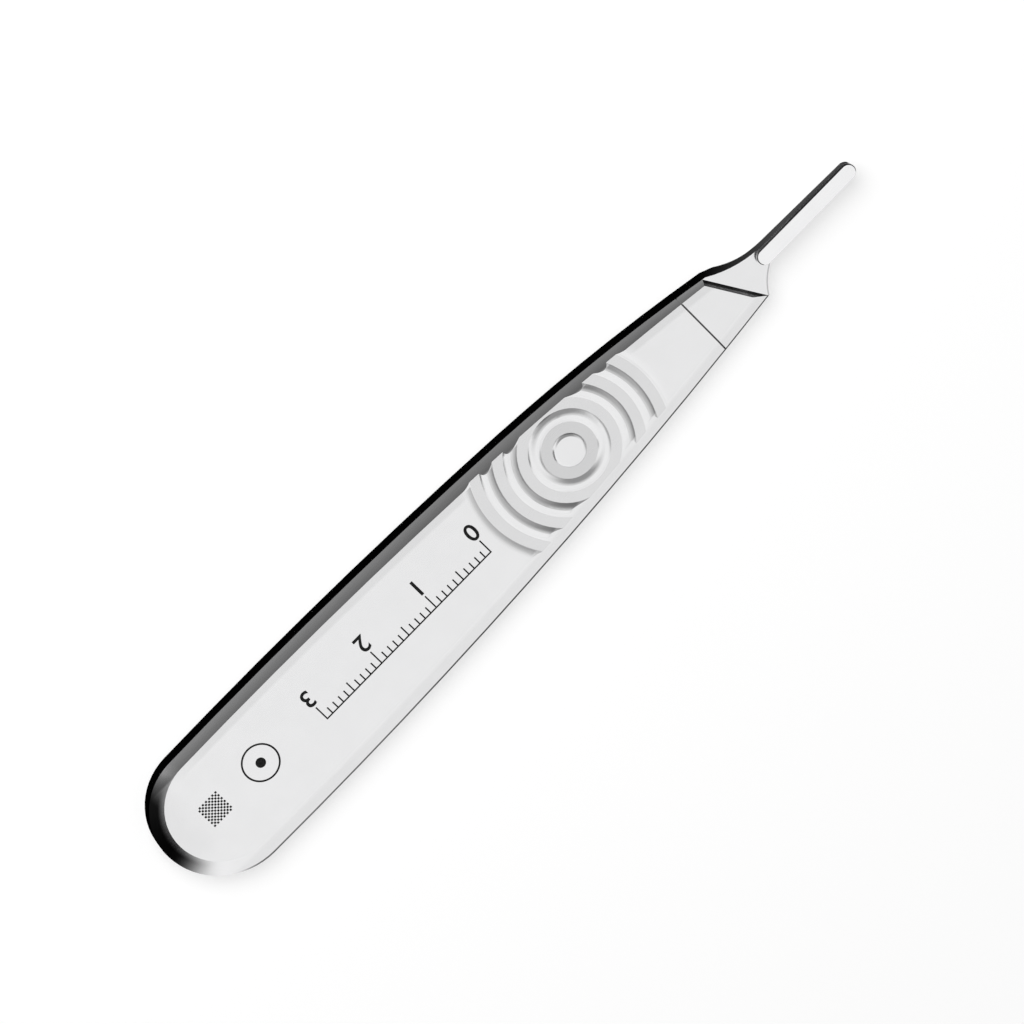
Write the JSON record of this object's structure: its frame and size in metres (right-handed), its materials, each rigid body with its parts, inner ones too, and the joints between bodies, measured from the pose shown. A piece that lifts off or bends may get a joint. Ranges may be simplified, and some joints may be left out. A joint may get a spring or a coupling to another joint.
{
  "type": "scalpel handle",
  "caption": "Flat steel handle for small surgical blades, with bevelled rims, a rippled finger grip and a grooved tongue that takes the blade.",
  "frame": {"origin": "middle of the handle's length and width, on the back face it rests on", "axes": "+X towards the blade tongue, +Z out of the front face, +Y towards the side where the nose is cut back"},
  "size_m": [0.125, 0.019, 0.0043],
  "materials": {
    "steel": "satin-polished stainless steel"
  },
  "bodies": {
    "root": {"scalpel_handle": "steel"}
  },
  "joints": []
}
